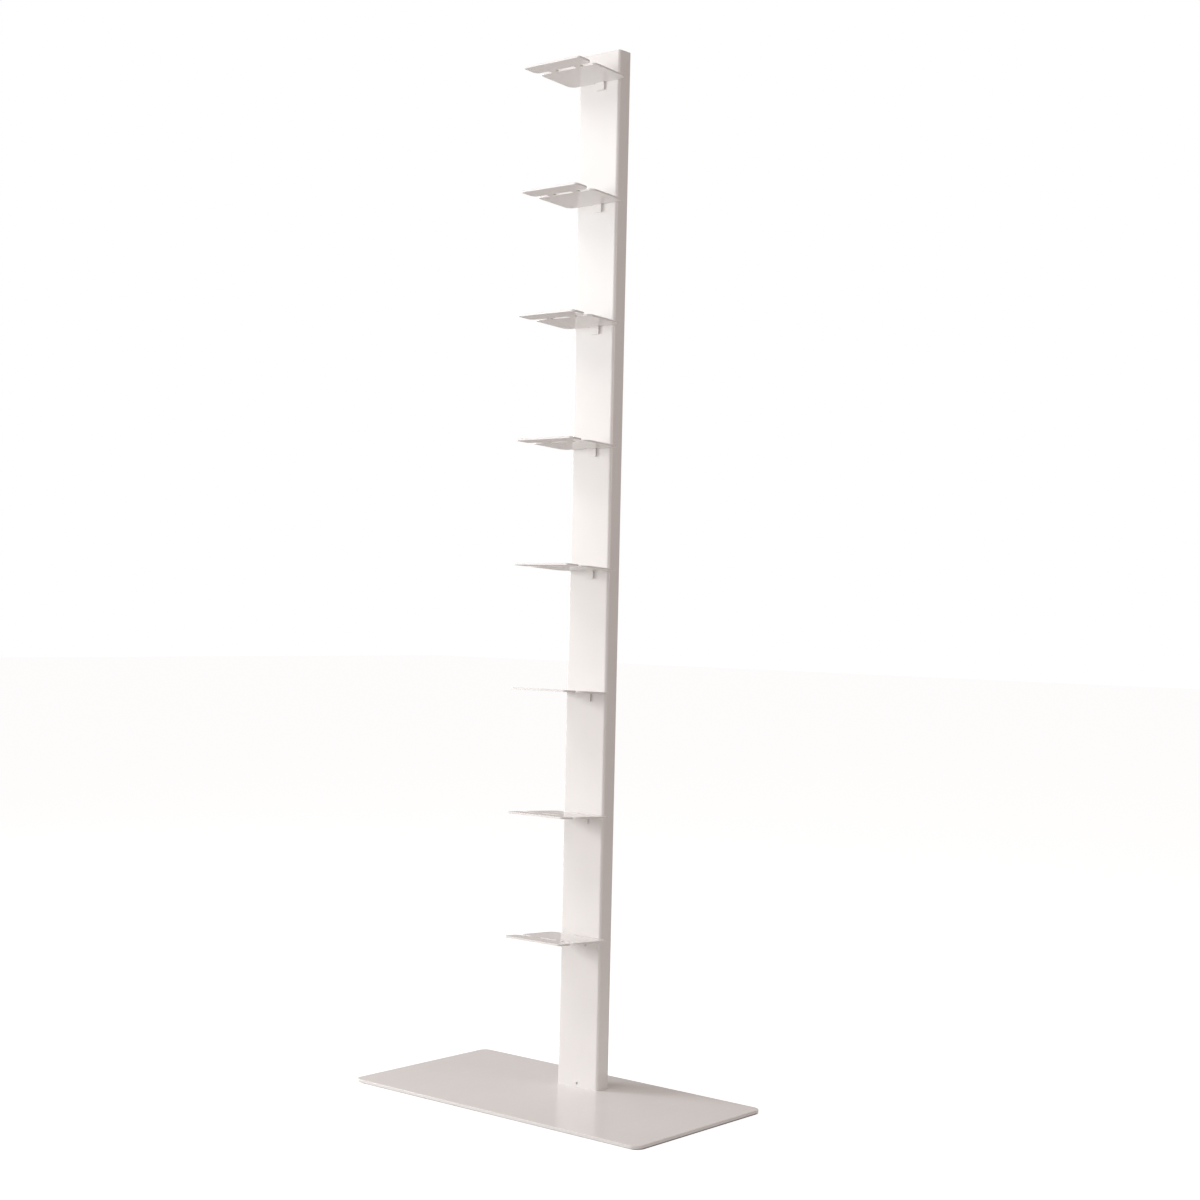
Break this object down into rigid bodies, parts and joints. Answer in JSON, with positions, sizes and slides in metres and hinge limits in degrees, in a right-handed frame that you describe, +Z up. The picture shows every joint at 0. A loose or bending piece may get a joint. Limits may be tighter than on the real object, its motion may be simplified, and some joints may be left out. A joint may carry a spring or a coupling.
{
  "type": "freestanding bookcase",
  "caption": "Freestanding tower bookcase: a slim folded steel column on a thin rectangular base plate, carrying short cantilevered sheet shelves for books laid flat.",
  "frame": {"origin": "on the floor, under the middle of the base plate", "axes": "+X along the base's long side, to the right seen from the shelves' side; +Y from the shelves' side to the back; +Z up"},
  "size_m": [0.6, 0.315, 1.7],
  "materials": {
    "white_lacquer": "gloss white powder coat",
    "bare_steel": "sawn and milled bar",
    "zinc_steel": "bright zinc plate",
    "coated_steel": "matt zinc flake coating",
    "grey_rubber": "matt"
  },
  "bodies": {
    "root": {"base_plate": "white_lacquer", "column": "white_lacquer", "foot_block": "bare_steel", "base_screws": "zinc_steel", "foot_set_screw": "coated_steel", "shelf_1": "white_lacquer", "shelf_2": "white_lacquer", "shelf_3": "white_lacquer", "shelf_4": "white_lacquer", "shelf_5": "white_lacquer", "shelf_6": "white_lacquer", "shelf_7": "white_lacquer", "shelf_8": "white_lacquer", "shelf_studs": "zinc_steel", "shelf_washers": "zinc_steel", "shelf_nuts": "zinc_steel", "floor_pads": "grey_rubber"}
  },
  "joints": []
}
